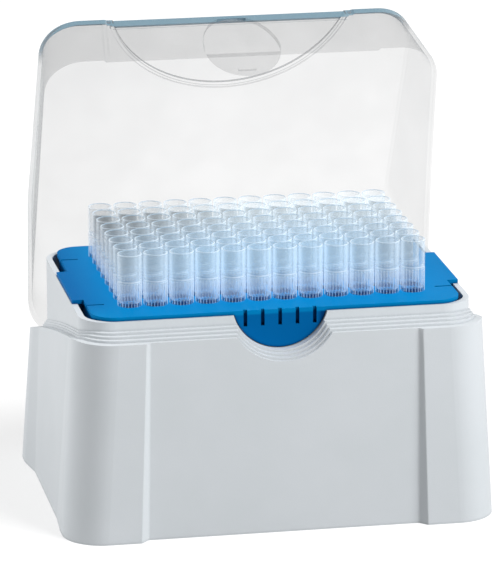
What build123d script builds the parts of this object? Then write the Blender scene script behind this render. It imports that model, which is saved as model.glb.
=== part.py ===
from build123d import *
import math
import os

# Hinged storage box for pipette tips, standing open. Millimetres, +Z up, +X to the right of
# someone facing the front, +Y to the back. The origin is the middle of the underside.
# A flared housing carries a perforated tray of hollow tips. A clear lid turns on moulded pins
# at the back, and comes to rest on the housing's rear edge when it is thrown open.

# Tips and their grid
COLUMNS = 12
ROWS = 8
PITCH = 9.0
TIP_LENGTH = 71.0
TIP_SIDES = 6              # flats round each tip and each tray hole
TIP_TURN = 15.0            # degrees, so that a six-sided tip is as wide as it is deep
HEAD_HEIGHT = 18.4
HEAD_R = 4.3               # over the corners, as are the tip's other radii
TIP_WALL = 0.7
BODY_R = 3.3
OUTLET_R = 0.8
OUTLET_BORE_R = 0.4
HOLE_CLEARANCE = 0.2

# Tray
TRAY_PLATE = 1.4
TRAY_SIDE_MARGIN = 14.5    # from the middle of the outermost tips
TRAY_CORNER_R = 8.0
TRAY_REST = 1.0            # how far the plate's front and back edges lie on the collar
EAR_REST = 1.8             # how far each side ear lies on the collar
EAR_FRONT = 22.0
EAR_BACK = 14.0
EDGE_SLOT_Y = 29.0
EDGE_SLOT_LENGTH = 6.0
EDGE_SLOT_WIDTH = 1.0
SKIRT_DEPTH = 5.0
SKIRT_WALL = 1.2
SKIRT_GAP = 0.6
TAB_SLOTS = 5
TAB_SLOT_PITCH = 6.03
TAB_SLOT_WIDTH = 1.3
TAB_SLOT_DROP = 4.2
TAB_CLEARANCE = 0.3

# Collar that stands up inside the lid
COLLAR_SIDE_GAP = 2.1      # between the tray plate's edge and the collar's inner face
COLLAR_DEPTH_MARGIN = 15.3  # from the middle of the outermost tips to the outer face
COLLAR_WALL = 2.0
COLLAR_R = 11.0
COLLAR_RISE = 5.5

# Seat of the lid: level across the front, then falling to the back in a shallow bow
LEDGE_Z = 70.4
SEAT_FALL = 24.1
SEAT_BREAK = 0.8           # how far inside the collar's front face the fall starts
SEAT_BOW = 1.4
LEDGE_STEPS = 3
LEDGE_RISE = 0.8
LEDGE_FIT = 0.4            # between the lid's inner face and the lowest step
LEDGE_SIDE_WIDTH = 3.2
LEDGE_FRONT_WIDTH = 9.0

# Housing below the ledge, with pillars at its corners that stand proud of its panels
SIDE_FLARE = 4.3
FRONT_FLARE = 1.2
SIDE_RECESS = 0.3          # of the side panels behind the front pillars, at the ledge
SIDE_RECESS_FLARE = 0.5
SIDE_RECESS_SLANT = 15.0
REAR_PROUD = 0.9           # of the rear pillars over the side panels, at the ledge
REAR_PROUD_FLARE = 1.1
REAR_PROUD_SLANT = 6.0
FRONT_STEP_X = 47.1
FRONT_STEP_FLARE = 1.6
FRONT_RECESS = 1.3
FRONT_RECESS_FLARE = 1.5
FRONT_RECESS_SLANT = 0.95
PILLAR_Y = 38.0
CORNER_R = 14.0
PILLAR_R = 13.0
STEP_R = 0.7
STEP_HOLLOW_R = 1.2
WALL = 2.2

# Half-round notch in the front, behind the lid's thumb disc
NOTCH_RISE = 4.5           # of its centre above the collar
NOTCH_BACK_R = 16.8
NOTCH_STEP = 0.8

# Floor plate
FLOOR = 2.0
FLOOR_REBATE = 1.0
FLOOR_CLEARANCE = 0.15

# Lid, closed
LID_HEADROOM = 3.1         # from the tips' rims to the lid's top
LID_WALL = 1.4
LID_SIDE_SETBACK = 0.4     # of the rim's sides inside the ledge at the front
LID_SIDE_SLOPE = 0.125
LID_FRONT_SETBACK = 0.2
LID_FRONT_LEAN = 6.5
LID_BACK_SETBACK = 0.7
LID_BACK_LEAN = 5.2
LID_CORNER_R = 15.0
LID_BEVEL = 1.2
LID_CLEARANCE = 0.2
RECESS_DEPTH = 0.9
RECESS_NARROWING = 3.4
SCOOP_R = 43.6
SCOOP_LENGTH = 32.0

# Thumb disc on the front of the lid
DISC_HALF = 13.4
DISC_OVER_RIM = 2.4
DISC_RISE = 22.7
DISC_DROP = 14.4
DISC_WALL = 1.4
DISC_PROUD = 1.2
DISC_GAP = 0.4
CATCH_WIDTH = 6.4
CATCH_HEIGHT = 1.2
CATCH_REACH = 0.9

# Hinge
HINGE_SETBACK = 3.5        # of its axis behind the collar
HINGE_RISE = 2.2           # of its axis above the seat
HINGE_X = 44.0
PIN_R = 1.4
PIN_CLEARANCE = 0.05
KNUCKLE_WALL = 1.5
ARM_WIDTH = 6.4
LUG_WIDTH = 2.4
SIDE_GAP = 0.3
TROUGH_CLEARANCE = 0.3
TROUGH_SETBACK = 1.3       # how far the trough starts in front of the hinge axis
STOP_GAP = 0.13            # between the open lid and the trough's rear lip

# How far a cut runs past the face that it opens
PAST = 1.0

# Worked out from the sizes above
TIPS_HALF_X = (COLUMNS - 1) / 2 * PITCH
TIPS_HALF_Y = (ROWS - 1) / 2 * PITCH
TRAY_HALF_X = TIPS_HALF_X + TRAY_SIDE_MARGIN
INNER_X = TRAY_HALF_X + COLLAR_SIDE_GAP
COLLAR_HALF_X = INNER_X + COLLAR_WALL
COLLAR_HALF_Y = TIPS_HALF_Y + COLLAR_DEPTH_MARGIN
INNER_Y = COLLAR_HALF_Y - COLLAR_WALL
TRAY_HALF_Y = INNER_Y + TRAY_REST
COLLAR_Z = LEDGE_Z + COLLAR_RISE
TRAY_TOP = COLLAR_Z + TRAY_PLATE
RIM_Z = TRAY_TOP + HEAD_HEIGHT
LEDGE_HALF = COLLAR_HALF_X + LEDGE_SIDE_WIDTH
LEDGE_DEPTH = COLLAR_HALF_Y + LEDGE_FRONT_WIDTH
SEAT_BACK_Z = LEDGE_Z - SEAT_FALL
NOTCH_Z = COLLAR_Z + NOTCH_RISE
NOTCH_FRONT_R = NOTCH_BACK_R + LEDGE_STEPS * NOTCH_STEP
LID_TOP = RIM_Z + LID_HEADROOM
FAR = LEDGE_HALF + LID_TOP     # past the end of anything
LOW = SEAT_BACK_Z / 2          # below the lowest part of the lid
LID_RIM_FRONT = LEDGE_DEPTH - LID_FRONT_SETBACK
LID_RIM_BACK = LEDGE_DEPTH - LID_BACK_SETBACK
HINGE_Y = COLLAR_HALF_Y + HINGE_SETBACK
HINGE_Z = SEAT_BACK_Z + HINGE_RISE
KNUCKLE_R = PIN_R + KNUCKLE_WALL
PIN_HALF = ARM_WIDTH / 2 + SIDE_GAP + LUG_WIDTH
TROUGH_R = math.hypot(LID_RIM_BACK - HINGE_Y, HINGE_RISE) + TROUGH_CLEARANCE
DISC_Z = LEDGE_Z + DISC_OVER_RIM
DISC_FACE = LEDGE_DEPTH - FRONT_RECESS + DISC_GAP + DISC_WALL


def open_angle():
    """Return how far the lid turns before its back lies on the trough's rear lip."""
    lean = math.atan2(LID_BACK_LEAN, LID_TOP - SEAT_BACK_Z)
    reach = (LID_RIM_BACK - HINGE_Y) * math.cos(lean) - HINGE_RISE * math.sin(lean)
    lip = math.asin(HINGE_RISE / TROUGH_R)
    return math.degrees(lip + lean + math.acos((reach + STOP_GAP) / TROUGH_R))


def blend(low, high, share):
    """Return the value that lies the given share of the way from low to high."""
    return low + (high - low) * share


def rod(radius, middle_x, half_length, y, z):
    """Return a rod that lies along X."""
    return Pos(middle_x, y, z) * Rot(Y=90) * Cylinder(radius, 2 * half_length)


def spindle(radius, y_from, y_to, z):
    """Return a rod that lies along Y."""
    return Pos(0, (y_from + y_to) / 2, z) * Rot(X=90) * Cylinder(radius, y_to - y_from)


def block(x_from, x_to, y_from, y_to, z_from, z_to):
    """Return a box between two corners."""
    middle = Pos((x_from + x_to) / 2, (y_from + y_to) / 2, (z_from + z_to) / 2)
    return middle * Box(x_to - x_from, y_to - y_from, z_to - z_from)


def rounded_prism(half_x, half_y, radius, z_from, z_to):
    """Return an upright prism with rounded corners, centred on the origin."""
    plan = RectangleRounded(2 * half_x, 2 * half_y, radius)
    return Pos(Z=z_from) * extrude(plan, amount=z_to - z_from)


def mirrored(half):
    """Return a plan from its right half: a run of (x, y, corner radius)."""
    return half + [(-x, y, radius) for x, y, radius in reversed(half)]


def drafted(low_plan, high_plan, z_low, z_high):
    """Return the flat-sided solid between two plans whose matching edges are parallel.

    The upright edge at each corner is rounded by that corner's radius.
    """
    low = [Vector(x, y, z_low) for x, y, radius in low_plan]
    high = [Vector(x, y, z_high) for x, y, radius in high_plan]
    faces = [Face(Wire.make_polygon(low)), Face(Wire.make_polygon(high))]
    for here in range(len(low)):
        after = (here + 1) % len(low)
        ring = [low[here], low[after], high[after], high[here]]
        faces.append(Face(Wire.make_polygon(ring)))
    solid = Solid(Shell(faces))
    radii = [radius for x, y, radius in low_plan]
    for radius in sorted(set(radii) - {0}):
        corners = [here for here in range(len(low)) if radii[here] == radius]
        middles = [(low[here] + high[here]) / 2 for here in corners]
        edges = [solid.edges().sort_by_distance(middle)[0] for middle in middles]
        solid = fillet(edges, radius)
    return solid


def faceted(low_r, high_r, z_low, z_high):
    """Return an upright facetted cone or prism."""
    first = math.radians(TIP_TURN)
    turns = [first + 2 * math.pi * side / TIP_SIDES for side in range(TIP_SIDES)]
    low = [(low_r * math.cos(turn), low_r * math.sin(turn), 0) for turn in turns]
    high = [(high_r * math.cos(turn), high_r * math.sin(turn), 0) for turn in turns]
    return drafted(low, high, z_low, z_high)


def housing_plan(z, inset):
    """Return the housing's plan at a height, moved inwards by an inset."""
    flare = 1 - z / LEDGE_Z
    recess = SIDE_RECESS + SIDE_RECESS_FLARE * flare
    proud = REAR_PROUD + REAR_PROUD_FLARE * flare
    front = LEDGE_HALF + SIDE_FLARE * flare - inset
    side = front - recess
    rear = side + proud
    depth = LEDGE_DEPTH + FRONT_FLARE * flare - inset
    step_shift = inset * math.tan(math.atan(1 / FRONT_RECESS_SLANT) / 2)
    step = FRONT_STEP_X + FRONT_STEP_FLARE * flare + step_shift
    step_depth = FRONT_RECESS + FRONT_RECESS_FLARE * flare
    half_run = step_depth * FRONT_RECESS_SLANT / 2
    half = [
        (step - half_run, step_depth - depth, STEP_HOLLOW_R),
        (step + half_run, -depth, STEP_R),
        (front, -depth, CORNER_R),
        (front, -PILLAR_Y, PILLAR_R),
        (side, recess * SIDE_RECESS_SLANT - PILLAR_Y, PILLAR_R),
        (side, PILLAR_Y - proud * REAR_PROUD_SLANT, PILLAR_R),
        (rear, PILLAR_Y, PILLAR_R),
        (rear, depth, CORNER_R),
    ]
    return mirrored([(x, y, max(radius - inset, 0)) for x, y, radius in half])


def housing_block(z_low, z_high, inset=0.0):
    """Return the housing's solid envelope between two heights."""
    return drafted(housing_plan(z_low, inset), housing_plan(z_high, inset), z_low, z_high)


def under_seat(lift=0.0):
    """Return everything below the lid's seat, with the seat moved up by a lift."""
    front_z = LEDGE_Z + lift
    back_z = SEAT_BACK_Z + lift
    bend_y = SEAT_BREAK - COLLAR_HALF_Y
    land_y = LID_RIM_BACK - 2 * LID_WALL
    middle = ((bend_y + land_y) / 2, (front_z + back_z) / 2 + SEAT_BOW)
    edges = [
        Line((-FAR, front_z), (bend_y, front_z)),
        ThreePointArc((bend_y, front_z), middle, (land_y, back_z)),
        Line((land_y, back_z), (FAR, back_z)),
        Line((FAR, back_z), (FAR, -FAR)),
        Line((FAR, -FAR), (-FAR, -FAR)),
        Line((-FAR, -FAR), (-FAR, front_z)),
    ]
    return extrude(Plane.YZ * make_face(edges), amount=FAR, both=True)


def step_edge(number):
    """Return the half-width, half-depth and corner radius of one ledge step."""
    share = (number - 1) / LEDGE_STEPS
    inset = LID_SIDE_SETBACK + LID_WALL + LEDGE_FIT
    half_x = blend(LEDGE_HALF - inset, COLLAR_HALF_X, share)
    inset = RECESS_DEPTH + LID_WALL + LEDGE_FIT
    half_y = blend(LID_RIM_FRONT - inset, COLLAR_HALF_Y, share)
    return half_x, half_y, blend(LID_CORNER_R - inset, COLLAR_R, share)


def stepped_block():
    """Return the housing filled solid: envelope, stepped ledge and collar."""
    solid = housing_block(0, LEDGE_Z + LEDGE_RISE) & under_seat()
    for number in range(1, LEDGE_STEPS + 1):
        half_x, half_y, radius = step_edge(number)
        step = rounded_prism(half_x, half_y, radius, LOW, COLLAR_Z)
        solid += step & under_seat(number * LEDGE_RISE)
    return solid + rounded_prism(COLLAR_HALF_X, COLLAR_HALF_Y, COLLAR_R, LOW, COLLAR_Z)


def notch_cut():
    """Return the stepped half-round notch that runs in from the front."""
    cut = spindle(NOTCH_BACK_R, -FAR, PAST - INNER_Y, NOTCH_Z)
    for number in range(1, LEDGE_STEPS + 1):
        radius = NOTCH_FRONT_R - (number - 1) * NOTCH_STEP
        cut += spindle(radius, -FAR, -step_edge(number)[1], NOTCH_Z)
    return cut


def hinge_lugs(x):
    """Return the two bored lugs that hold one of the lid's arms."""
    reach = (ARM_WIDTH + LUG_WIDTH) / 2 + SIDE_GAP
    half = LUG_WIDTH / 2
    low = HINGE_Z - KNUCKLE_R
    high = HINGE_Z + KNUCKLE_R
    lugs = []
    for middle in (x - reach, x + reach):
        foot = block(middle - half, middle + half, INNER_Y + PAST, HINGE_Y, low, high)
        lugs.append(rod(KNUCKLE_R, middle, half, HINGE_Y, HINGE_Z) + foot)
    return lugs


def housing():
    """Return the hollow housing with its ledge, collar, notch and hinge lugs."""
    filled = stepped_block()
    inside = housing_block(-PAST, LEDGE_Z, WALL) & under_seat(-WALL)
    well = rounded_prism(INNER_X, INNER_Y, COLLAR_R - COLLAR_WALL, -PAST, COLLAR_Z + PAST)
    body = filled - inside - well
    body += spindle(NOTCH_FRONT_R + WALL, -FAR, -INNER_Y, NOTCH_Z) & filled
    body -= notch_cut()
    behind_well = block(-FAR, FAR, INNER_Y, FAR, -FAR, FAR)
    body += rod(TROUGH_R + WALL, 0, FAR, HINGE_Y, HINGE_Z) & filled & behind_well
    trough_y = HINGE_Y - TROUGH_SETBACK
    trough = rod(TROUGH_R, 0, FAR, HINGE_Y, HINGE_Z)
    body -= trough & block(-FAR, FAR, trough_y, FAR, 0, FAR)
    behind_collar = block(-FAR, FAR, COLLAR_HALF_Y, FAR, 0, FAR)
    for x in (-HINGE_X, HINGE_X):
        body -= rod(TROUGH_R, x, PIN_HALF, HINGE_Y, HINGE_Z) & behind_collar
        for lug in hinge_lugs(x):
            body += lug
        body -= rod(PIN_R + PIN_CLEARANCE, x, PIN_HALF + SIDE_GAP, HINGE_Y, HINGE_Z)
    return body - housing_block(-PAST, FLOOR, WALL - FLOOR_REBATE)


def floor_plate():
    """Return the plate that closes the housing's open underside."""
    return housing_block(0, FLOOR, WALL - FLOOR_REBATE + FLOOR_CLEARANCE)


def tray_plan():
    """Return the tray plate's plan with ears, edge slots and tip holes."""
    plan = RectangleRounded(2 * TRAY_HALF_X, 2 * TRAY_HALF_Y, TRAY_CORNER_R)
    ear = Rectangle(2 * (INNER_X + EAR_REST), EAR_FRONT + EAR_BACK)
    plan += Pos(0, (EAR_BACK - EAR_FRONT) / 2) * ear
    for x in (-TRAY_HALF_X, TRAY_HALF_X):
        for y in (-EDGE_SLOT_Y, EDGE_SLOT_Y):
            plan -= Pos(x, y) * Rectangle(2 * EDGE_SLOT_LENGTH, EDGE_SLOT_WIDTH)
    hole = RegularPolygon(BODY_R + HOLE_CLEARANCE, TIP_SIDES, rotation=TIP_TURN)
    return plan - [place * hole for place in GridLocations(PITCH, PITCH, COLUMNS, ROWS)]


def tray():
    """Return the tray: plate, skirt and the slotted tab that fills the notch."""
    plate = Pos(Z=COLLAR_Z) * extrude(tray_plan(), amount=TRAY_PLATE)
    half_x = TRAY_HALF_X - SKIRT_GAP
    half_y = INNER_Y - SKIRT_GAP
    radius = TRAY_CORNER_R - SKIRT_GAP
    low = COLLAR_Z - SKIRT_DEPTH
    skirt = rounded_prism(half_x, half_y, radius, low, COLLAR_Z)
    wall = SKIRT_WALL
    skirt -= rounded_prism(half_x - wall, half_y - wall, radius - wall, low, COLLAR_Z)
    tab_back = TRAY_PLATE - TRAY_HALF_Y
    disc = spindle(NOTCH_BACK_R - TAB_CLEARANCE, -TRAY_HALF_Y, tab_back, NOTCH_Z)
    body = plate + skirt + (disc & block(-FAR, FAR, -FAR, FAR, 0, COLLAR_Z))
    half = TAB_SLOT_WIDTH / 2
    for number in range(TAB_SLOTS):
        x = (number - (TAB_SLOTS - 1) / 2) * TAB_SLOT_PITCH
        body -= block(x - half, x + half, -FAR, tab_back, COLLAR_Z - TAB_SLOT_DROP, FAR)
    return body


def tip():
    """Return one hollow tip with its rim at height zero."""
    head = faceted(HEAD_R, HEAD_R, -HEAD_HEIGHT, 0)
    body = faceted(OUTLET_R, BODY_R, -TIP_LENGTH, -HEAD_HEIGHT)
    bore = faceted(OUTLET_BORE_R, HEAD_R - TIP_WALL, -TIP_LENGTH, 0)
    return head + body - bore


def tip_column(number):
    """Return one column of separate tips, counted from the left."""
    one = tip()
    x = number * PITCH - TIPS_HALF_X
    return Compound(children=[Pos(x, row * PITCH - TIPS_HALF_Y, RIM_Z) * one for row in range(ROWS)])


def lid_plan(z, inset, radius):
    """Return the lid's plan at a height, moved inwards by an inset."""
    front_drop = (LID_TOP - z) / (LID_TOP - LEDGE_Z)
    back_drop = (LID_TOP - z) / (LID_TOP - SEAT_BACK_Z)
    half = LEDGE_HALF - LID_SIDE_SETBACK + LID_SIDE_SLOPE * (LEDGE_Z - z) - inset
    front = LID_RIM_FRONT - LID_FRONT_LEAN * (1 - front_drop) - inset
    back = LID_RIM_BACK - LID_BACK_LEAN * (1 - back_drop) - inset
    return mirrored([(half, -front, radius), (half, back, radius)])


def lid_block(z_high, low_inset, high_inset, radius):
    """Return a solid that follows the lid's walls from well below its rim up to a height."""
    low_plan = lid_plan(LOW, low_inset, radius)
    return drafted(low_plan, lid_plan(z_high, high_inset, radius), LOW, z_high)


def lid_envelope():
    """Return the lid filled solid, with a bevel round its top."""
    full = lid_block(LID_TOP, 0, 0, LID_CORNER_R)
    low_inset = LID_BEVEL - LID_TOP + LOW
    return full & lid_block(LID_TOP, low_inset, LID_BEVEL, LID_CORNER_R * math.sqrt(2))


def recess_plan(z, wider, deeper):
    """Return the plan of the lid's front recess at a height, its sides slanting outwards."""
    rise = (z - LEDGE_Z) / (LID_TOP - LEDGE_Z)
    half = FRONT_STEP_X - RECESS_NARROWING * rise + wider
    back = RECESS_DEPTH + deeper - LID_RIM_FRONT + LID_FRONT_LEAN * rise
    return mirrored([(half, back, 0), (half + FAR, back - FAR, 0)])


def front_recess(wider=0.0, deeper=0.0):
    """Return the recess across the lid's front and the half-round scoop on its top."""
    high = LID_TOP + PAST
    cut = drafted(recess_plan(LOW, wider, deeper), recess_plan(high, wider, deeper), LOW, high)
    scoop_y = LID_FRONT_LEAN - LID_RIM_FRONT + SCOOP_LENGTH - SCOOP_R
    floor_z = LID_TOP - RECESS_DEPTH - deeper
    return cut + Pos(0, scoop_y, floor_z + FAR / 2) * Cylinder(SCOOP_R + wider, FAR)


def thumb_disc():
    """Return the oval pad that lies on the lid's front and hangs below its rim."""
    upper = Ellipse(DISC_HALF, DISC_RISE) & Pos(0, FAR / 2) * Rectangle(FAR, FAR)
    lower = Ellipse(DISC_HALF, DISC_DROP) & Pos(0, -FAR / 2) * Rectangle(FAR, FAR)
    plug = Pos(Z=DISC_Z) * extrude(Plane.XZ * (upper + lower), amount=FAR, both=True)
    rim = RECESS_DEPTH - LID_RIM_FRONT
    top = rim + LID_FRONT_LEAN
    rim_z = LEDGE_Z + LID_CLEARANCE
    inner = DISC_WALL - DISC_FACE
    points = [
        (-DISC_FACE, 0),
        (-DISC_FACE, DISC_Z),
        (top - DISC_PROUD, LID_TOP),
        (top + LID_WALL / 2, LID_TOP),
        (rim + LID_WALL / 2, rim_z),
        (inner, rim_z),
        (inner, 0),
    ]
    strip = extrude(Plane.YZ * make_face(Polyline(*points, close=True)), amount=FAR, both=True)
    half = CATCH_WIDTH / 2
    low = NOTCH_Z - NOTCH_FRONT_R + NOTCH_STEP
    middle = inner - DISC_WALL / 2
    catch = block(-half, half, middle, inner + CATCH_REACH, low, low + CATCH_HEIGHT)
    return (plug & strip) + catch


def lid_arm(x):
    """Return one hinge arm with its moulded pin."""
    half = ARM_WIDTH / 2
    barrel = rod(KNUCKLE_R, x, half, HINGE_Y, HINGE_Z)
    low = SEAT_BACK_Z + LID_CLEARANCE
    wall_y = LID_RIM_BACK - LID_WALL
    web = block(x - half, x + half, HINGE_Y, wall_y, low, HINGE_Z + KNUCKLE_R)
    return barrel + web + rod(PIN_R, x, PIN_HALF, HINGE_Y, HINGE_Z)


def closed_lid():
    """Return the lid as it lies on the housing."""
    shell = lid_envelope() - front_recess()
    inside = lid_block(LID_TOP - LID_WALL, LID_WALL, LID_WALL, LID_CORNER_R - LID_WALL)
    shell -= inside - front_recess(LID_WALL, LID_WALL)
    shell -= under_seat(LID_CLEARANCE)
    shell += thumb_disc()
    for x in (-HINGE_X, HINGE_X):
        shell += lid_arm(x)
    return shell


def lid():
    """Return the lid thrown open on its hinge."""
    hinge = Axis((0, HINGE_Y, HINGE_Z), (1, 0, 0))
    return closed_lid().rotate(hinge, -open_angle())


def save(shape, node):
    """Write one node's STEP file."""
    export_step(shape, f"parts/{node}.step")


def main():
    """Build every node."""
    os.makedirs("parts", exist_ok=True)
    save(housing(), "housing")
    save(floor_plate(), "floor_plate")
    save(tray(), "tray")
    save(lid(), "lid")
    for number in range(COLUMNS):
        save(tip_column(number), f"tips_column_{number + 1:02d}")
    print(f"hinge at Y {HINGE_Y:.2f}, Z {HINGE_Z:.2f}; lid open {open_angle():.2f} degrees")


main()
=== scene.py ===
import logging
import math
from dataclasses import dataclass, field
from enum import Enum
from typing import Any, Iterable, Sequence, Union

import bpy
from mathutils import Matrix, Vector


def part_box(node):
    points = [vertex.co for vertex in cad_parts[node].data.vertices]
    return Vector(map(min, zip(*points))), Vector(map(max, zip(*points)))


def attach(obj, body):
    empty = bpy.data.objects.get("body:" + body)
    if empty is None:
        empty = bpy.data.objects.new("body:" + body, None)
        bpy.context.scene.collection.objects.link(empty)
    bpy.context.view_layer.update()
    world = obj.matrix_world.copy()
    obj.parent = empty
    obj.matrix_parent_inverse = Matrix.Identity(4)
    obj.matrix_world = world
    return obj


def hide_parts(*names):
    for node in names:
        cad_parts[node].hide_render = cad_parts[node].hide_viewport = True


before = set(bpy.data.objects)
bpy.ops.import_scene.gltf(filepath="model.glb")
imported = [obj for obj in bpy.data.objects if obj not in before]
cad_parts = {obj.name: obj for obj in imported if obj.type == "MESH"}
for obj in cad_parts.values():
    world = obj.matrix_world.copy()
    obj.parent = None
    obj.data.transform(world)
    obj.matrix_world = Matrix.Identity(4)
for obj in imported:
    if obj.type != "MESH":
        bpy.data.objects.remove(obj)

LOG = logging.getLogger("tip_box")
MM = 0.001
MM_IN_METRE = 1000.0
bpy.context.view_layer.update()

Colour = tuple[float, float, float, float]
Place = tuple[float, float, float]
Pair = tuple[float, float]
Paint = Union[Colour, bpy.types.NodeSocket]

WHITE: Colour = (1.0, 1.0, 1.0, 1.0)
BLACK: Colour = (0.0, 0.0, 0.0, 1.0)


class Ring(Enum):
    """What a ring of a turned profile carries."""

    PLAIN = "plain"
    RIBBED = "ribbed"
    SLOTTED = "slotted"


class Value:
    """A number that varies over a surface, with ordinary arithmetic."""

    def __init__(self, graph: "Graph", socket: bpy.types.NodeSocket) -> None:
        """Keep the graph and the output socket that carries the number."""
        self.graph = graph
        self.socket = socket

    def _join(self, operation: str, first: "Number", second: "Number", clamp: bool = False) -> "Value":
        """Add one Math node.

        Args:
            operation: the Math node's operation.
            first: the first operand.
            second: the second operand.
            clamp: whether the result is kept between 0 and 1.

        Returns:
            The node's result.
        """
        settings = {"operation": operation, "use_clamp": clamp}
        node = self.graph.node("ShaderNodeMath", settings, {0: first, 1: second})
        return Value(self.graph, node.outputs[0])

    def __add__(self, other: "Number") -> "Value":
        """Return self + other."""
        return self._join("ADD", self, other)

    def __radd__(self, other: float) -> "Value":
        """Return other + self."""
        return self._join("ADD", other, self)

    def __sub__(self, other: "Number") -> "Value":
        """Return self - other."""
        return self._join("SUBTRACT", self, other)

    def __rsub__(self, other: float) -> "Value":
        """Return other - self."""
        return self._join("SUBTRACT", other, self)

    def __mul__(self, other: "Number") -> "Value":
        """Return self * other."""
        return self._join("MULTIPLY", self, other)

    def __rmul__(self, other: float) -> "Value":
        """Return other * self."""
        return self._join("MULTIPLY", other, self)

    def __truediv__(self, other: "Number") -> "Value":
        """Return self / other."""
        return self._join("DIVIDE", self, other)

    def __rtruediv__(self, other: float) -> "Value":
        """Return other / self."""
        return self._join("DIVIDE", other, self)

    def __pow__(self, other: float) -> "Value":
        """Return self raised to a power."""
        return self._join("POWER", self, other)

    def __neg__(self) -> "Value":
        """Return self with its sign turned."""
        return self._join("MULTIPLY", self, -1.0)

    def __abs__(self) -> "Value":
        """Return self without its sign."""
        return self._join("ABSOLUTE", self, 0.0)

    def clamped(self) -> "Value":
        """Return the value kept between 0 and 1."""
        return self._join("ADD", self, 0.0, clamp=True)

    def positive(self) -> "Value":
        """Return the value, or 0 where it is negative."""
        return self._join("MAXIMUM", self, 0.0)

    def from_nearest(self, first: float, pitch: float) -> "Value":
        """Return how far the value is from the nearest of a row of evenly spaced ones."""
        return self._join("FLOORED_MODULO", self - first + pitch / 2, pitch) - pitch / 2

    def ramp(self, low: float, high: float) -> "Value":
        """Return 0 at low, 1 at high and a straight run between them."""
        return ((self - low) / (high - low)).clamped()

    def band(self, middle: float, half: float, blur: float) -> "Value":
        """Return 1 within a distance of a middle value, fading to 0 over a blur."""
        return 1.0 - abs(self - middle).ramp(half, half + blur)


Number = Union[Value, float]


class Graph:
    """The node graph of one material, or of the world."""

    def __init__(self, owner: Union[bpy.types.Material, bpy.types.World]) -> None:
        """Start the owner on an empty graph.

        Args:
            owner: the material or world that gets the nodes.
        """
        self.owner = owner
        self.owner.use_nodes = True
        self.tree = owner.node_tree
        self.tree.nodes.clear()
        self.axes: dict[str, Value] = {}

    def node(self, kind: str, settings: dict[str, Any], inputs: dict[Any, Any]) -> bpy.types.Node:
        """Add one node.

        Args:
            kind: the node's type.
            settings: its properties, set before its sockets.
            inputs: values or links for its sockets, by name or number.

        Returns:
            The new node.
        """
        made = self.tree.nodes.new(kind)
        for key, value in settings.items():
            setattr(made, key, value)
        for key, value in inputs.items():
            self.feed(made.inputs[key], value)
        return made

    def feed(self, socket: bpy.types.NodeSocket, value: Any) -> None:
        """Set a socket to a constant, or link it.

        Args:
            socket: the input socket.
            value: a Value or an output socket to link, or else a constant.
        """
        if isinstance(value, Value):
            self.tree.links.new(value.socket, socket)
        elif isinstance(value, bpy.types.NodeSocket):
            self.tree.links.new(value, socket)
        else:
            socket.default_value = value

    def place(self) -> bpy.types.NodeSocket:
        """Return the surface point in the object's own metres."""
        return self.node("ShaderNodeTexCoord", {}, {}).outputs["Object"]

    def axis(self, name: str) -> Value:
        """Return one coordinate of the surface point.

        Args:
            name: X, Y or Z.

        Returns:
            The coordinate in millimetres, from nodes that are made once.
        """
        if name not in self.axes:
            split = self.node("ShaderNodeSeparateXYZ", {}, {0: self.place()})
            self.axes[name] = Value(self, split.outputs[name]) * MM_IN_METRE
        return self.axes[name]

    def noise(self, scale: float, detail: float = 2.0) -> Value:
        """Return noise of about 0 to 1, with this many cells in a metre and finer layers on them."""
        inputs = {"Vector": self.place(), "Scale": scale, "Detail": detail}
        return Value(self, self.node("ShaderNodeTexNoise", {}, inputs).outputs[0])

    def layer(self, blend: float) -> Value:
        """Return how far a surface turns away from the line of sight."""
        return Value(self, self.node("ShaderNodeLayerWeight", {}, {"Blend": blend}).outputs["Facing"])

    def seen(self) -> Value:
        """Return 1 for what is seen directly, in a reflection or through something clear.

        Returns:
            1 or 0, by the kind of ray.
        """
        path = self.node("ShaderNodeLightPath", {}, {})
        kinds = ("Camera", "Glossy", "Transmission")
        direct, mirrored, through = (Value(self, path.outputs[f"Is {kind} Ray"]) for kind in kinds)
        return (direct + mirrored + through).clamped()

    def mix(self, share: Number, low: Paint, high: Paint) -> bpy.types.NodeSocket:
        """Return a colour between two others, low at a share of 0 and high at 1."""
        made = self.node("ShaderNodeMix", {"data_type": "RGBA"}, {0: share, 6: low, 7: high})
        return made.outputs[2]

    def bump(self, height: Value, distance: float) -> bpy.types.NodeSocket:
        """Return a normal that follows a height of 0 to 1, whose full size is in metres."""
        return self.node("ShaderNodeBump", {}, {"Height": height, "Distance": distance}).outputs[0]

    def shader(self, kind: str, inputs: dict[Any, Any]) -> bpy.types.NodeSocket:
        """Return a shader of one type with these socket values."""
        return self.node(kind, {}, inputs).outputs[0]

    def blend(self, share: Number, low: bpy.types.NodeSocket,
              high: bpy.types.NodeSocket) -> bpy.types.NodeSocket:
        """Return a shader between two others."""
        return self.shader("ShaderNodeMixShader", {0: share, 1: low, 2: high})

    def finish(self, surface: bpy.types.NodeSocket) -> Union[bpy.types.Material, bpy.types.World]:
        """Connect the surface to the output.

        Args:
            surface: the shader to show.

        Returns:
            The finished material or world.
        """
        kind = "World" if isinstance(self.owner, bpy.types.World) else "Material"
        self.node(f"ShaderNodeOutput{kind}", {}, {"Surface": surface})
        return self.owner


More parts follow.
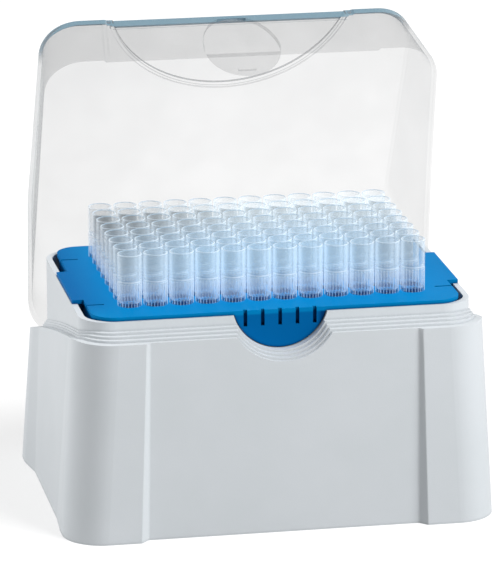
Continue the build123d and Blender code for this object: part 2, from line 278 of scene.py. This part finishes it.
@dataclass(frozen=True)
class MouldedPlastic:
    """Opaque injection-moulded plastic with a fine eroded texture.

    Colour and shade are its two clouded tones; hollows darken towards a third colour, a painted shade.
    """

    name: str
    colour: Colour
    shade: Colour
    roughness: float = 0.5
    roughness_spread: float = 0.12
    gloss: float = 0.4
    crease_shade: Colour = (0.22, 0.235, 0.25, 1.0)
    crease_shade_reach: float = 1.1 * MM
    crease_shade_depth: float = 0.6
    crease_shade_samples: int = 8
    cloud_scale: float = 45.0
    cloud_detail: float = 3.0
    cloud_run: Pair = (0.35, 0.7)
    grain: float = 2600.0
    relief: float = 0.02 * MM

    def tone(self, graph: Graph) -> bpy.types.NodeSocket:
        """Return the plastic's colour, faintly clouded as a moulding is."""
        cloud = graph.noise(self.cloud_scale, self.cloud_detail).ramp(*self.cloud_run)
        return graph.mix(cloud, self.shade, self.colour)

    def crease_shaded(self, graph: Graph) -> bpy.types.NodeSocket:
        """Return the plastic's colour with painted shade where faces meet in a hollow.

        Args:
            graph: the material's graph.

        Returns:
            The colour's socket.
        """
        # Painted shade: ambient occlusion darkens hollows, slots and contacts where shade would fall.
        settings, inputs = {"samples": self.crease_shade_samples}, {"Distance": self.crease_shade_reach}
        hollow = graph.node("ShaderNodeAmbientOcclusion", settings, inputs)
        share = (1.0 - Value(graph, hollow.outputs["AO"])) * self.crease_shade_depth
        return graph.mix(share.clamped(), self.tone(graph), self.crease_shade)

    def material(self) -> bpy.types.Material:
        """Build the material.

        Returns:
            The new material.
        """
        graph = Graph(bpy.data.materials.new(self.name))
        fine = graph.noise(self.grain)
        return graph.finish(graph.shader("ShaderNodeBsdfPrincipled", {
            "Base Color": self.crease_shaded(graph),
            "Roughness": (fine - 0.5) * self.roughness_spread + self.roughness,
            "Normal": graph.bump(fine, self.relief),
            "Specular IOR Level": self.gloss,
        }))


@dataclass(frozen=True)
class TrayPlastic(MouldedPlastic):
    """Blue plastic with painted shade: darker in the skirt and tab below the plate, at the tab's right
    end, and in the ears, most in the left one.

    A run is where a change of colour starts and ends, in millimetres along one axis.
    """

    # Painted shade colours: below the plate and in the ears, and darker still at the tab's right end.
    painted_shade_blue: Colour = (0.0, 0.11, 0.33, 1.0)
    under_shade_run: Pair = (75.5, 76.2)
    ear_shade_run: Pair = (52.0, 66.0)
    ear_shade_front: Pair = (-42.0, -28.0)
    left_ear_shade: float = 0.9
    right_ear_shade: float = 0.25
    tab_end_shade: Colour = (0.0, 0.04, 0.15, 1.0)
    tab_shade_run: Pair = (12.7, 14.4)

    def tone(self, graph: Graph) -> bpy.types.NodeSocket:
        """Return the plate's colour, with painted shade below the plate, at the tab's right end and in
        its ears.

        Args:
            graph: the material's graph.

        Returns:
            The colour's socket.
        """
        # Painted shade: the ears darken as if shaded by the tips, most on the left; the skirt and tab
        # below the plate darken as in shade, and the tab's right end more, as in shadow.
        across = graph.axis("X")
        left = (-across).ramp(*self.ear_shade_run) * self.left_ear_shade
        right = across.ramp(*self.ear_shade_run) * self.right_ear_shade
        ear_shade = (left + right) * graph.axis("Y").ramp(*self.ear_shade_front)
        plate = graph.mix(ear_shade, super().tone(graph), self.painted_shade_blue)
        below = graph.mix(across.ramp(*self.tab_shade_run), self.painted_shade_blue, self.tab_end_shade)
        return graph.mix(graph.axis("Z").ramp(*self.under_shade_run), below, plate)


@dataclass(frozen=True)
class ClearPlastic:
    """Clear moulded plastic, seen through, whose cover grows as it turns edge-on.

    Body is the cover of a wall seen square on and rim that of one seen edge-on.
    """

    name: str
    tint: Colour
    edge: Colour
    body: float
    rim: float
    roughness: float
    turn: float = 2.0
    shine: float = 0.5
    edge_blend: float = 0.35
    streak_scale: float = 60.0
    roughness_spread: float = 0.1
    cover_spread: float = 0.05

    def cover(self, graph: Graph, facing: Value, streak: Value) -> Value:
        """Return how much of what lies behind is hidden, most where the wall turns edge-on."""
        spread = (streak - 0.5) * self.cover_spread
        return (facing ** self.turn * (self.rim - self.body) + self.body + spread).clamped()

    def tone(self, graph: Graph, facing: Value) -> bpy.types.NodeSocket:
        """Return the plastic's colour."""
        return graph.mix(facing, self.tint, self.edge)

    def material(self) -> bpy.types.Material:
        """Build the material.

        Returns:
            The new material.
        """
        graph = Graph(bpy.data.materials.new(self.name))
        facing = graph.layer(self.edge_blend)
        streak = graph.noise(self.streak_scale)
        return graph.finish(graph.shader("ShaderNodeBsdfPrincipled", {
            "Base Color": self.tone(graph, facing),
            "Roughness": (streak - 0.5) * self.roughness_spread + self.roughness,
            "Alpha": self.cover(graph, facing, streak),
            "Specular IOR Level": self.shine,
        }))


@dataclass(frozen=True)
class LidPlastic(ClearPlastic):
    """The lid's clear plastic, with painted blue-grey shade along its front fold, a painted dark shade
    line round its scoop, and painted shade growing towards its left.

    Heights and depths are those of the closed lid, in millimetres, and the solid is
    drawn open, so a point is first turned back about the hinge.
    """

    # Painted shade: a blue-grey band on the fold, a dark line on the scoop's step, and more cover
    # towards the left.
    fold_shade: Colour = (0.15, 0.265, 0.335, 1.0)
    fold_shade_cover: float = 0.7
    line: Colour = (0.12, 0.14, 0.15, 1.0)
    line_cover: float = 0.25
    line_half: float = 0.12
    line_blur: float = 0.15
    left_shade_cover: float = 0.03
    left_shade_run: Pair = (0.0, 60.0)
    hinge: Pair = (50.3, 48.5)
    opened: float = 61.69
    seat_front: Pair = (-46.0, 70.4)
    seat_back: Pair = (52.3, 46.3)
    seat_bow: float = 1.4
    rim_start: Pair = (-0.3, 0.0)
    rim_end: Pair = (0.9, 1.95)
    rim_clear: float = 0.85
    top: float = 98.8
    top_front: float = 49.1
    top_half: float = 68.9
    top_skin: Pair = (-1.3, -1.2)
    side_skin: Pair = (-0.35, -0.2)
    corner_r: float = 15.0
    fold_down: float = 4.0
    fold_back: float = 3.0
    fold_blur: float = 0.3
    fold_end: float = -36.0
    fold_fade: float = 8.0
    fold_side: Pair = (52.0, 62.0)
    dent: float = 0.9
    dent_run: Pair = (42.3, 42.9)
    scoop_y: float = -60.7
    scoop_r: float = 43.6
    wall: float = 1.4
    ceiling_run: Pair = (95.8, 96.0)

    def closed(self, graph: Graph) -> tuple[Value, Value]:
        """Turn the point back about the hinge by the opening angle.

        Args:
            graph: the material's graph.

        Returns:
            The point's depth and height with the lid closed.
        """
        hinge_y, hinge_z = self.hinge
        depth, height = graph.axis("Y") - hinge_y, graph.axis("Z") - hinge_z
        cosine, sine = math.cos(math.radians(self.opened)), math.sin(math.radians(self.opened))
        return depth * cosine - height * sine + hinge_y, depth * sine + height * cosine + hinge_z

    def rim_share(self, graph: Graph) -> Value:
        """Find the cut rim, which follows the ledge's slope and slight bow.

        Args:
            graph: the material's graph.

        Returns:
            1 on the cut rim and 0 away from it.
        """
        depth, height = self.closed(graph)
        (front_y, front_z), (back_y, back_z) = self.seat_front, self.seat_back
        along = depth.ramp(front_y, back_y)
        seat = front_z - along * (front_z - back_z) + along * (1.0 - along) * (4.0 * self.seat_bow)
        above = height - seat
        return above.ramp(*self.rim_start) - above.ramp(*self.rim_end)

    def fold_share(self, graph: Graph) -> Value:
        """Find the outer faces where the front wall and the top meet in solid plastic.

        Args:
            graph: the material's graph.

        Returns:
            1 on those faces, fading to 0 along the sides.
        """
        depth, height = self.closed(graph)
        across = abs(graph.axis("X"))
        sunk = (1.0 - across.ramp(*self.dent_run)) * self.dent
        past_side = (across - self.top_half + self.corner_r).positive()
        past_front = (self.corner_r - self.top_front - depth).positive()
        reach = (past_side ** 2.0 + past_front ** 2.0) ** 0.5 - self.corner_r + sunk
        rise = height - self.top + sunk
        outer = (rise.ramp(*self.top_skin) + reach.ramp(*self.side_skin)).clamped()
        high = rise.ramp(-self.fold_down - self.fold_blur, -self.fold_down)
        near = reach.ramp(-self.fold_back - self.fold_blur, -self.fold_back)
        behind = depth + graph.axis("X").ramp(*self.fold_side) * self.fold_fade
        return outer * high * near * (1.0 - behind.ramp(self.fold_end, self.fold_end + self.fold_fade))

    def scoop_share(self, graph: Graph, radius: float) -> Value:
        """Find the upright step at one radius round the scoop.

        Args:
            graph: the material's graph.
            radius: the step's radius.

        Returns:
            1 on the step and 0 away from it.
        """
        depth, height = self.closed(graph)
        reach = (graph.axis("X") ** 2.0 + (depth - self.scoop_y) ** 2.0) ** 0.5
        return reach.band(radius, self.line_half, self.line_blur) * height.ramp(*self.ceiling_run)

    def cover(self, graph: Graph, facing: Value, streak: Value) -> Value:
        """Return the wall's cover, with its cut rim and one step of the scoop left clear.

        Args:
            graph: the material's graph.
            facing: how far the surface turns away from the line of sight.
            streak: the flow marks, about 0 to 1.

        Returns:
            The cover, 0 to 1.
        """
        inner = self.scoop_share(graph, self.scoop_r + self.wall)
        outer = self.scoop_share(graph, self.scoop_r)
        cleared = (1.0 - self.rim_share(graph) * self.rim_clear) * (1.0 - inner) * (1.0 - outer)
        # Painted shade: more cover towards the left, on the fold and on the scoop's step, so these read
        # darker.
        left_shade = (-graph.axis("X")).ramp(*self.left_shade_run) * self.left_shade_cover
        plain = super().cover(graph, facing * cleared, streak) + left_shade
        return (plain + self.fold_share(graph) * self.fold_shade_cover + outer * self.line_cover).clamped()

    def tone(self, graph: Graph, facing: Value) -> bpy.types.NodeSocket:
        """Return the wall's colour, with painted shade on the fold and on the scoop's step."""
        folded = graph.mix(self.fold_share(graph), super().tone(graph, facing ** self.turn), self.fold_shade)
        return graph.mix(self.scoop_share(graph, self.scoop_r), folded, self.line)


@dataclass(frozen=True)
class TipPlastic(ClearPlastic):
    """The tips' plastic, coloured with painted light: a painted reflection of the blue tray,
    bluest in the middle and at the foot, with painted highlights and shade lines at the rim, ledge and
    ribs.

    A run is where a change starts and ends: in millimetres along an axis of the box, or
    from the tip's own axis for the rear and the ribs.
    """

    # Painted light by the tip's place: shade on the side tips, light on the back rows, shade on the
    # back-left ones, and the tray's blue reflected at the foot.
    side: Colour = (0.50, 0.63, 0.74, 1.0)
    side_shade_run: Pair = (22.0, 55.0)
    back: Colour = (0.88, 0.95, 0.98, 1.0)
    painted_back_run: Pair = (-30.0, 20.0)
    back_left_shade: Colour = (0.40, 0.42, 0.43, 1.0)
    left_shade_run: Pair = (-48.0, 0.0)
    foot: Colour = (0.36, 0.50, 0.74, 1.0)
    foot_reflection_run: Pair = (77.3, 87.0)
    first_tip: Pair = (-49.5, -31.5)
    pitch: float = 9.0
    rear_run: Pair = (-1.5, 0.5)
    # Painted highlights on the rim, ledge and rib crests, and painted shade lines beside them.
    rim_run: Pair = (95.34, 95.44)
    rim_highlight: float = 0.6
    ledge_height: float = 86.2
    line: Colour = (0.36, 0.50, 0.62, 1.0)
    line_half: float = 0.12
    line_blur: float = 0.1
    line_gap: float = 0.55
    line_cover: float = 0.3
    rib_run: Pair = (4.06, 4.16)
    rib_top: Pair = (85.6, 85.8)
    rib_highlight: float = 0.6
    rib_cover: float = 0.12

    def across(self, graph: Graph) -> Value:
        """Return how far a point lies to the right of its own tip's axis."""
        return graph.axis("X").from_nearest(self.first_tip[0], self.pitch)

    def behind(self, graph: Graph) -> Value:
        """Return how far a point lies behind its own tip's axis."""
        return graph.axis("Y").from_nearest(self.first_tip[1], self.pitch)

    def highlight_share(self, graph: Graph) -> Value:
        """Find the painted highlights: the ledge and the rim, both on the front side.

        Args:
            graph: the material's graph.

        Returns:
            1 on the ledge's line, less on the rim's, and 0 away from them.
        """
        height = graph.axis("Z")
        front = 1.0 - self.behind(graph).ramp(*self.rear_run)
        ledge = height.band(self.ledge_height, self.line_half, self.line_blur)
        return (ledge + height.ramp(*self.rim_run) * self.rim_highlight) * front

    def shade_line_share(self, graph: Graph) -> Value:
        """Find the painted shade lines: beside the ledge in front, and along the rim at the back.

        Args:
            graph: the material's graph.

        Returns:
            1 on the lines and 0 away from them.
        """
        height = graph.axis("Z")
        rear = self.behind(graph).ramp(*self.rear_run)
        beside = abs(height - self.ledge_height).band(self.line_gap, self.line_half, self.line_blur)
        return beside * (1.0 - rear) + height.ramp(*self.rim_run) * rear

    def rib_share(self, graph: Graph) -> Value:
        """Return 1 on the crests of the ribs."""
        radius = (self.across(graph) ** 2.0 + self.behind(graph) ** 2.0) ** 0.5
        return radius.ramp(*self.rib_run) * (1.0 - graph.axis("Z").ramp(*self.rib_top))

    def cover(self, graph: Graph, facing: Value, streak: Value) -> Value:
        """Return the cover, which is higher on the lines and the ribs.

        Args:
            graph: the material's graph.
            facing: how far the surface turns away from the line of sight.
            streak: the flow marks, about 0 to 1.

        Returns:
            The cover, 0 to 1.
        """
        lines = (self.highlight_share(graph) + self.shade_line_share(graph)) * self.line_cover
        ribs = self.rib_share(graph) * self.rib_cover
        return (super().cover(graph, facing, streak) + lines + ribs).clamped()

    def tone(self, graph: Graph, facing: Value) -> bpy.types.NodeSocket:
        """Return the colour, all painted light: shade on the side and back-left tips, light on the back
        rows, the tray's blue reflected at the foot, then shade lines and highlights.

        Args:
            graph: the material's graph.
            facing: how far the surface turns away from the line of sight.

        Returns:
            The colour's socket.
        """
        # Painted shade on the side and back-left tips, painted light on the back rows, painted
        # reflection of the tray at the foot.
        barrel = graph.mix(abs(graph.axis("X")).ramp(*self.side_shade_run), self.tint, self.side)
        far = graph.mix(graph.axis("X").ramp(*self.left_shade_run), self.back_left_shade, self.back)
        barrel = graph.mix(graph.axis("Y").ramp(*self.painted_back_run), barrel, far)
        barrel = graph.mix(graph.axis("Z").ramp(*self.foot_reflection_run), self.foot, barrel)
        lined = graph.mix(self.shade_line_share(graph), barrel, self.line)
        # Painted highlights: edge-on walls, the ledge and rim lines and the rib crests turn towards the
        # pale edge colour.
        light = facing + self.highlight_share(graph) + self.rib_share(graph) * self.rib_highlight
        return graph.mix(light.clamped(), lined, self.edge)


def dress(item: bpy.types.Object, material: bpy.types.Material) -> None:
    """Give an object one material and no other."""
    item.data.materials.clear()
    item.data.materials.append(material)


def stand(name: str, data: bpy.types.ID) -> bpy.types.Object:
    """Make an object of a mesh, lamp or camera and put it in the scene.

    Args:
        name: the object's name.
        data: what the object shows.

    Returns:
        The new object.
    """
    item = bpy.data.objects.new(name, data)
    bpy.context.scene.collection.objects.link(item)
    return item


@dataclass
class Lathe:
    """Turns a profile of rings into a mesh, with ribs where a ring asks for them."""

    segments: int
    rib_every: int
    rib_depth: float
    points: list[Place] = field(default_factory=list)
    faces: list[tuple[int, ...]] = field(default_factory=list)
    slits: list[bool] = field(default_factory=list)

    def ring(self, radius: float, z: float, ribbed: bool) -> int:
        """Add one ring of points.

        Args:
            radius: the ring's radius between its ribs.
            z: the ring's height.
            ribbed: whether the ring has ribs.

        Returns:
            The number of the ring's first point.
        """
        start = len(self.points)
        for number in range(self.segments):
            angle = 2 * math.pi * number / self.segments
            high = ribbed and number % self.rib_every == 0
            reach = radius + (self.rib_depth if high else 0.0)
            self.points.append((reach * math.cos(angle), reach * math.sin(angle), z))
        return start

    def wall(self, low: int, high: int, slotted: bool) -> None:
        """Join two rings with a band of faces.

        Args:
            low: where the first ring starts.
            high: where the second ring starts.
            slotted: whether the faces between ribs are slit faces, painted as dark shade.
        """
        for number in range(self.segments):
            after = (number + 1) % self.segments
            self.faces.append((low + number, low + after, high + after, high + number))
            between = number % self.rib_every and after % self.rib_every
            self.slits.append(bool(slotted and between))

    def turn(self, profile: Sequence[tuple[float, float, Ring]]) -> None:
        """Make the closed surface of a hollow profile, whose last ring joins its first.

        Args:
            profile: radius, height and kind of each ring.
        """
        starts = [self.ring(radius, z, kind is not Ring.PLAIN) for radius, z, kind in profile]
        count = len(profile)
        for here in range(count):
            after = (here + 1) % count
            slotted = profile[here][2] is Ring.SLOTTED and profile[after][2] is Ring.SLOTTED
            self.wall(starts[here], starts[after], slotted)


@dataclass
class Tips:
    """The hollow tips: smooth rim, ledge, ribbed skirt and long tapered body."""

    finish: ClearPlastic
    slit_shade: ClearPlastic
    rows: int = 8
    rim_r: float = 4.18 * MM
    mouth_r: float = 3.82 * MM
    skirt_r: float = 4.05 * MM
    rib_depth: float = 0.14 * MM
    ledge_drop: float = 9.4 * MM
    slit_height: float = 1.5 * MM
    slit_bore_r: float = 3.65 * MM
    lip: float = 0.16 * MM
    body_r: float = 3.1 * MM
    body_bore_r: float = 2.6 * MM
    waist_share: float = 0.45
    waist_r: float = 2.0 * MM
    waist_bore_r: float = 1.5 * MM
    point_length: float = 1.0 * MM
    point_r: float = 0.75 * MM
    outlet_r: float = 0.6 * MM
    outlet_bore_r: float = 0.3 * MM
    segments: int = 120
    rib_every: int = 5
    sharp_angle: float = 38.0

    def profile(self, head: float, length: float) -> list[tuple[float, float, Ring]]:
        """Return the rings of one tip, from its mouth down its outside and up its bore.

        Args:
            head: the height of the head above the tray.
            length: the whole tip's length.

        Returns:
            Radius, height below the rim, and the ring's kind.
        """
        lip = self.lip
        ledge = self.ledge_drop
        waist = -head - self.waist_share * (length - head)
        return [
            (self.mouth_r + lip, 0.0, Ring.PLAIN),
            (self.rim_r - lip, 0.0, Ring.PLAIN),
            (self.rim_r, -lip, Ring.PLAIN),
            (self.rim_r, -ledge + lip, Ring.PLAIN),
            (self.rim_r - lip / 2, -ledge, Ring.PLAIN),
            (self.skirt_r, -ledge - lip, Ring.PLAIN),
            (self.skirt_r, -ledge - 3 * lip, Ring.RIBBED),
            (self.skirt_r, -head + self.slit_height, Ring.SLOTTED),
            (self.skirt_r, -head + lip, Ring.SLOTTED),
            (self.skirt_r - lip / 2, -head, Ring.PLAIN),
            (self.body_r, -head, Ring.PLAIN),
            (self.waist_r, waist, Ring.PLAIN),
            (self.point_r, -length + self.point_length, Ring.PLAIN),
            (self.outlet_r, -length, Ring.PLAIN),
            (self.outlet_bore_r, -length, Ring.PLAIN),
            (self.waist_bore_r, waist, Ring.PLAIN),
            (self.body_bore_r, -head, Ring.PLAIN),
            (self.slit_bore_r, -head + self.slit_height, Ring.PLAIN),
            (self.mouth_r, -lip, Ring.PLAIN),
        ]

    def mesh(self, node: str, materials: Sequence[bpy.types.Material]) -> bpy.types.Mesh:
        """Turn one tip and repeat it down the box of a column's solids.

        Args:
            node: the column's CAD node.
            materials: the tips' plastic and the painted dark shade of their slits.

        Returns:
            The column's mesh, whose slit faces have the second material, a painted dark shade.
        """
        low, high = (Vector(corner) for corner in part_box(node))
        head_r = (high.x - low.x) / 2
        tray_top = Vector(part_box("tray")[1]).z
        lathe = Lathe(self.segments, self.rib_every, self.rib_depth)
        lathe.turn(self.profile(high.z - tray_top, high.z - low.z))
        pitch = (high.y - low.y - 2 * head_r) / (self.rows - 1)
        points: list[Place] = []
        faces: list[tuple[int, ...]] = []
        for row in range(self.rows):
            start = len(points)
            x, y = (low.x + high.x) / 2, low.y + head_r + row * pitch
            points += [(px + x, py + y, pz + high.z) for px, py, pz in lathe.points]
            faces += [tuple(start + corner for corner in face) for face in lathe.faces]
        mesh = bpy.data.meshes.new(f"{node}_round")
        mesh.from_pydata(points, [], faces)
        mesh.update()
        for material in materials:
            mesh.materials.append(material)
        # Faces between the ribs at the foot get the second material, painted dark shade where the slits
        # open.
        for face, slit_shade in zip(mesh.polygons, lathe.slits * self.rows):
            face.use_smooth = True
            face.material_index = int(slit_shade)
        return mesh

    def column(self, node: str, materials: Sequence[bpy.types.Material]) -> None:
        """Make one column of tips and stand it where its solids are.

        Args:
            node: the column's CAD node.
            materials: the tips' plastic and the painted dark shade of their slits.
        """
        item = stand(f"{node}_round", self.mesh(node, materials))
        split = item.modifiers.new("edges", "EDGE_SPLIT")
        split.split_angle = math.radians(self.sharp_angle)
        item.visible_shadow = False
        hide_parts(node)
        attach(item, "box")
        LOG.info("tips: %s, %d faces", item.name, len(item.data.polygons))

    def build(self, nodes: Iterable[str]) -> None:
        """Make every column.

        Args:
            nodes: the columns' CAD nodes.
        """
        materials = [self.finish.material(), self.slit_shade.material()]
        for node in nodes:
            self.column(node, materials)


@dataclass
class Moulding:
    """A CAD node that keeps its shape and gets its finish."""

    node: str
    finish: Union[MouldedPlastic, ClearPlastic]

    def build(self) -> None:
        """Dress the node. Clear plastic lets the light past, so it casts no shadow."""
        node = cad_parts[self.node]
        dress(node, self.finish.material())
        node.visible_shadow = not isinstance(self.finish, ClearPlastic)
        LOG.info("moulding: %s", self.node)


@dataclass(frozen=True)
class Lamp:
    """One soft square lamp that looks at the object.

    Turn is in degrees to the right of the box's front and lift in degrees above the
    horizon. At level 1 a surface that faces the lamp shows in its own colour.
    """

    name: str
    turn: float
    lift: float
    level: float
    size: float = 0.9


@dataclass
class Studio:
    """Floor, world, lamps and camera."""

    reach: float = 4.0
    ambient: float = 0.30
    matt: Colour = (0.42, 0.42, 0.42, 1.0)
    glow: float = 0.72
    near_shade_glow: float = 0.83
    glow_reach: Pair = (120.0, 420.0)
    aim: Place = (0.0, 0.0, 0.060)
    lamps: tuple[Lamp, ...] = (Lamp("key", 45.0, 42.0, 1.2), Lamp("side", -110.0, 22.0, 0.68))
    lamp_distance: float = 1.6
    camera_distance: float = 1.549
    azimuth: float = -11.06
    elevation: float = 16.52
    sensor: float = 36.0
    focal: float = 317.6
    shift: Pair = (-0.0088, 0.074)
    farthest: float = 20.0

    def floor_material(self) -> bpy.types.Material:
        """Build a white floor that keeps a soft shadow, and glows a little less near the box as painted
        shade.

        Returns:
            The new material.
        """
        graph = Graph(bpy.data.materials.new("floor_white"))
        far = (graph.axis("X") ** 2.0 + graph.axis("Y") ** 2.0) ** 0.5
        # Painted shade: the floor glows less near the box, deepening its shadow there.
        level = far.ramp(*self.glow_reach) * (1.0 - self.near_shade_glow) + self.near_shade_glow
        matt = graph.shader("ShaderNodeBsdfDiffuse", {"Color": self.matt})
        glow = graph.shader("ShaderNodeEmission", {"Color": WHITE, "Strength": self.glow})
        dark = graph.shader("ShaderNodeEmission", {"Color": BLACK, "Strength": 0.0})
        lift = graph.blend(graph.seen() * level, dark, glow)
        return graph.finish(graph.shader("ShaderNodeAddShader", {0: matt, 1: lift}))

    def floor(self) -> None:
        """Lay the floor."""
        mesh = bpy.data.meshes.new("floor")
        half = self.reach
        corners = [(-half, -half, 0), (half, -half, 0), (half, half, 0), (-half, half, 0)]
        mesh.from_pydata(corners, [], [(0, 1, 2, 3)])
        item = stand("floor", mesh)
        dress(item, self.floor_material())

    def world(self) -> None:
        """Fill the room with even light and show it white."""
        world = bpy.data.worlds.new("room")
        bpy.context.scene.world = world
        graph = Graph(world)
        light, shown = (
            graph.shader("ShaderNodeBackground", {"Color": WHITE, "Strength": strength})
            for strength in (self.ambient, 1.0))
        graph.finish(graph.blend(graph.seen(), light, shown))

    def look(self, item: bpy.types.Object, turn: float, lift: float, distance: float) -> None:
        """Move a lamp or camera to its place and turn it to the object.

        Args:
            item: the lamp or camera.
            turn: degrees to the right of the box's front.
            lift: degrees above the horizon.
            distance: metres from the point it looks at.
        """
        side, up = math.radians(turn), math.radians(lift)
        way = Vector((math.sin(side) * math.cos(up), -math.cos(side) * math.cos(up), math.sin(up)))
        item.location = Vector(self.aim) + way * distance
        item.rotation_euler = (-way).to_track_quat("-Z", "Y").to_euler()

    def light(self, lamp: Lamp) -> None:
        """Hang one lamp.

        Args:
            lamp: its place, size and level.
        """
        data = bpy.data.lights.new(lamp.name, "AREA")
        data.size = lamp.size
        data.energy = lamp.level * (math.pi * self.lamp_distance) ** 2
        self.look(stand(lamp.name, data), lamp.turn, lamp.lift, self.lamp_distance)

    def camera(self) -> None:
        """Set the camera at the front left, a little above the box."""
        data = bpy.data.cameras.new("camera")
        data.sensor_fit = "HORIZONTAL"
        data.sensor_width = self.sensor
        data.lens = self.focal
        data.shift_x, data.shift_y = self.shift
        data.clip_end = self.farthest
        item = stand("camera", data)
        self.look(item, self.azimuth, self.elevation, self.camera_distance)
        bpy.context.scene.camera = item

    def build(self) -> None:
        """Set everything up."""
        self.floor()
        self.world()
        for lamp in self.lamps:
            self.light(lamp)
        self.camera()
        bpy.context.scene.view_settings.view_transform = "Standard"


def main() -> None:
    """Dress the frame, add the tips and light the scene."""
    logging.basicConfig(level=logging.INFO, format="%(name)s: %(message)s")
    # Each plastic's crease colour is a painted shade in its hollows; the tray's is near black, for its
    # slots and round the tips.
    grey = MouldedPlastic(
        "housing_grey", colour=(0.60, 0.632, 0.66, 1.0), shade=(0.58, 0.615, 0.64, 1.0))
    blue = TrayPlastic(
        "tray_blue", colour=(0.0, 0.20, 0.48, 1.0), shade=(0.0, 0.185, 0.45, 1.0), gloss=0.02,
        crease_shade=(0.0, 0.006, 0.035, 1.0), crease_shade_reach=1.3 * MM, crease_shade_depth=1.3)
    clear = LidPlastic(
        "lid_clear", tint=(0.05, 0.055, 0.06, 1.0), edge=(0.13, 0.19, 0.22, 1.0),
        body=0.108, rim=0.9, roughness=0.18, turn=4.6, shine=0.25)
    # The tips' blue tint is a painted reflection of the blue tray, and their pale edge colour a painted
    # highlight.
    tint = TipPlastic(
        "tip_clear", tint=(0.56, 0.80, 1.0, 1.0), edge=(0.82, 0.91, 0.98, 1.0),
        body=0.12, rim=0.64, roughness=0.12, turn=1.4)
    # The slit faces' near-black blue is painted shade where the slits open.
    dark = ClearPlastic(
        "tip_slit_shade", tint=(0.0, 0.025, 0.12, 1.0), edge=(0.0, 0.05, 0.2, 1.0),
        body=0.97, rim=0.3, roughness=0.4, turn=0.7)
    parts = [
        Moulding("housing", grey),
        Moulding("floor_plate", grey),
        Moulding("tray", blue),
        Moulding("lid", clear),
    ]
    for part in parts:
        part.build()
    Tips(tint, dark).build(sorted(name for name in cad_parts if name.startswith("tips_column")))
    Studio().build()


if __name__ == "__main__":
    main()
